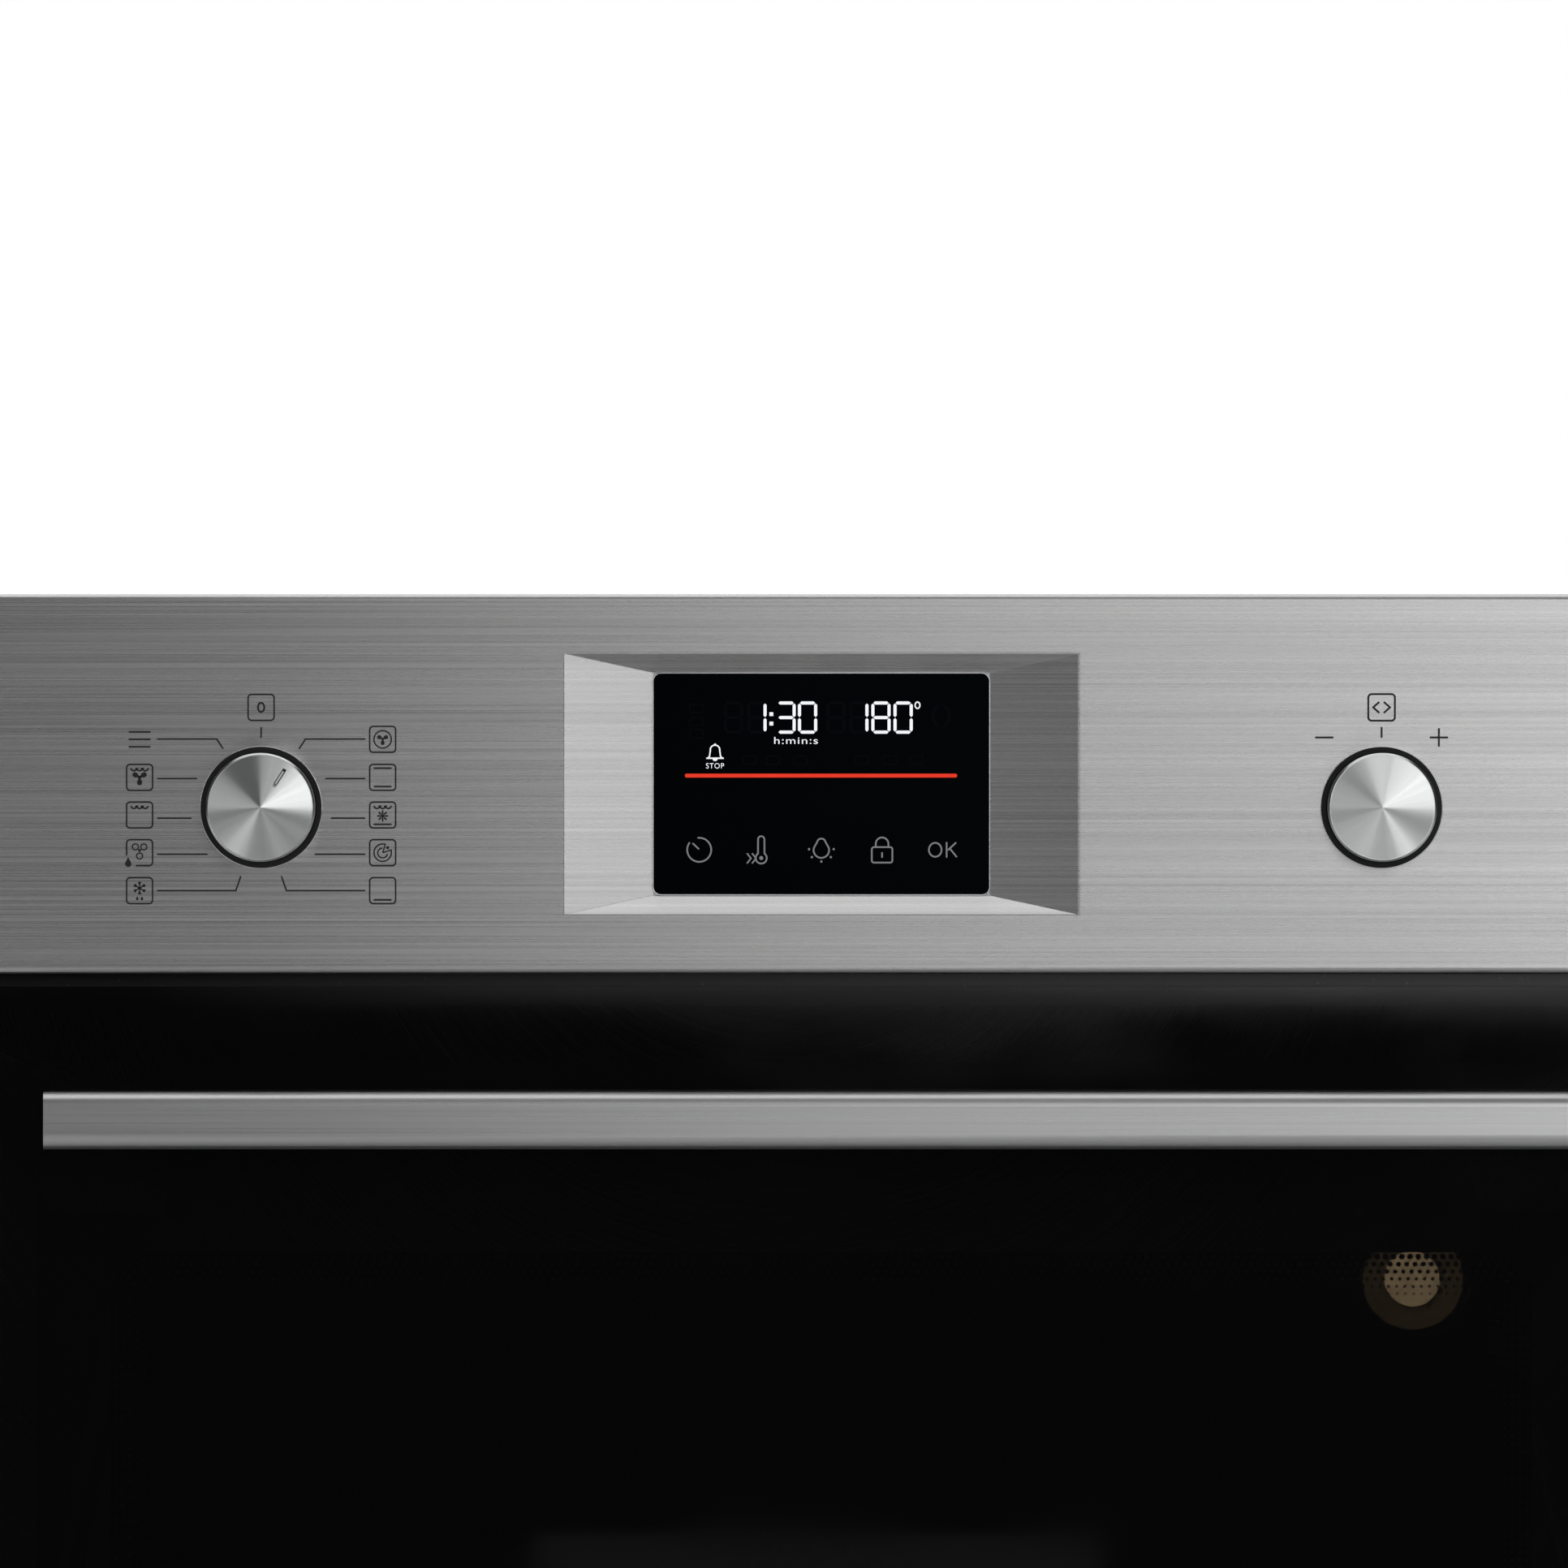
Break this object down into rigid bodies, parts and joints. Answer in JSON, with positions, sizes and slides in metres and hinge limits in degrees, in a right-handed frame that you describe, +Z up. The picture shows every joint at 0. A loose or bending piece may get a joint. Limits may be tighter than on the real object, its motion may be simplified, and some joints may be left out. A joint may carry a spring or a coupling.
{
  "type": "wall oven",
  "caption": "Built-in electric wall oven with a brushed steel control panel, recessed display, push-in knobs, drop-down glass door and fan cavity.",
  "frame": {"origin": "middle of the footprint, on the surface that the oven's base skids stand on", "axes": "+Z up, +Y into the cabinet, +X to the right of a person facing the front"},
  "size_m": [0.595, 0.61, 0.595],
  "materials": {
    "brushed_steel": "stainless steel with a long horizontal brush grain",
    "knob_metal": "turned metal with a fine circular grain",
    "handle_metal": "brushed along its length",
    "black_glass": "black printed glass, polished",
    "door_glass": "tinted glass with a black printed border",
    "clear_glass": "clear heat-reflecting glass",
    "lens_glass": "ribbed lamp glass",
    "lamp_glow": "warm halogen capsule",
    "black_plastic": "fine moulded texture",
    "white_plastic": "moulded, matt",
    "circuit_board": "green solder mask",
    "galvanised_sheet": "galvanised sheet with a faint spangle",
    "enamelled_frame": "black vitreous enamel",
    "cavity_enamel": "speckled dark vitreous enamel",
    "tray_enamel": "speckled vitreous enamel",
    "door_frame": "black powder coat",
    "chrome_wire": "bright chromium plate",
    "heating_tube": "heat-darkened steel tube",
    "mineral_wool": "fibrous wool blanket",
    "rope_seal": "braided rope",
    "motor_steel": "laminated and plated steel",
    "fan_steel": "pressed sheet",
    "hinge_steel": "zinc-plated sheet",
    "screw_steel": "zinc plate"
  },
  "bodies": {
    "oven": {"base_plate": "galvanised_sheet", "side_panel_left": "galvanised_sheet", "side_panel_right": "galvanised_sheet", "rear_cover": "galvanised_sheet", "top_cover": "galvanised_sheet", "front_frame": "enamelled_frame", "side_trims": "brushed_steel", "lower_trim": "brushed_steel", "cavity_liner": "cavity_enamel", "insulation": "mineral_wool", "air_duct": "galvanised_sheet", "shelf_ladders": "chrome_wire", "grill_element": "heating_tube", "bottom_element": "heating_tube", "ring_heater": "heating_tube", "fan_baffle": "cavity_enamel", "fan_motor": "motor_steel", "lamp_bulb": "lamp_glow", "lamp_lens": "lens_glass", "door_seal": "rope_seal", "hinge_housings": "hinge_steel", "blower_housing": "galvanised_sheet", "blower_motor": "motor_steel", "power_board": "circuit_board", "terminal_box": "black_plastic", "casing_screws": "screw_steel", "fascia": "brushed_steel", "display_surround": "brushed_steel", "display_glass": "black_glass", "display_module": "white_plastic", "touch_board": "circuit_board", "panel_carrier": "black_plastic", "bezel_left": "black_plastic", "bezel_right": "black_plastic", "encoders": "black_plastic", "panel_screws": "screw_steel"},
    "door": {"door_outer_glass": "door_glass", "door_mid_glass": "clear_glass", "door_inner_glass": "clear_glass", "door_stiles": "door_frame", "door_top_rail": "door_frame", "door_bottom_rail": "door_frame", "hinge_arms": "hinge_steel", "hinge_pins": "screw_steel", "handle_bar": "handle_metal", "handle_posts": "handle_metal", "handle_screws": "screw_steel"},
    "selector_spindle": {"spindle_left": "screw_steel"},
    "selector_knob": {"knob_left": "knob_metal", "knob_left_face": "knob_metal"},
    "adjust_spindle": {"spindle_right": "screw_steel"},
    "adjust_knob": {"knob_right": "knob_metal", "knob_right_face": "knob_metal"},
    "convection_fan": {"convection_fan": "fan_steel"},
    "blower_rotor": {"blower_rotor": "fan_steel"},
    "wire_shelf": {"wire_shelf": "chrome_wire"},
    "baking_tray": {"baking_tray": "tray_enamel"}
  },
  "joints": [
    {"name": "door_hinge", "type": "hinge", "parent": "oven", "child": "door", "pos_m": [0, -0.247, 0.036], "axis": [1, 0, 0], "range_deg": [0, 90], "stiffness_Nm_per_rad": 11},
    {"name": "selector_turn", "type": "hinge", "parent": "oven", "child": "selector_spindle", "pos_m": [-0.177, -0.241, 0.5276], "axis": [0, 1, 0], "continuous": true},
    {"name": "selector_push", "type": "slide", "parent": "selector_spindle", "child": "selector_knob", "axis": [0, 1, 0], "range_m": [0, 0.015]},
    {"name": "adjust_turn", "type": "hinge", "parent": "oven", "child": "adjust_spindle", "pos_m": [0.177, -0.241, 0.5276], "axis": [0, 1, 0], "range_deg": [-30, 30], "stiffness_Nm_per_rad": 0.15},
    {"name": "adjust_push", "type": "slide", "parent": "adjust_spindle", "child": "adjust_knob", "axis": [0, 1, 0], "range_m": [0, 0.015]},
    {"name": "convection_fan_spin", "type": "hinge", "parent": "oven", "child": "convection_fan", "pos_m": [0, 0.179, 0.237], "axis": [0, 1, 0], "continuous": true},
    {"name": "blower_spin", "type": "hinge", "parent": "oven", "child": "blower_rotor", "pos_m": [0, 0.159, 0.4812], "axis": [1, 0, 0], "continuous": true},
    {"name": "shelf_slide", "type": "slide", "parent": "oven", "child": "wire_shelf", "axis": [0, -1, 0], "range_m": [0, 0.03]},
    {"name": "tray_slide", "type": "slide", "parent": "oven", "child": "baking_tray", "axis": [0, -1, 0], "range_m": [0, 0.03]}
  ]
}
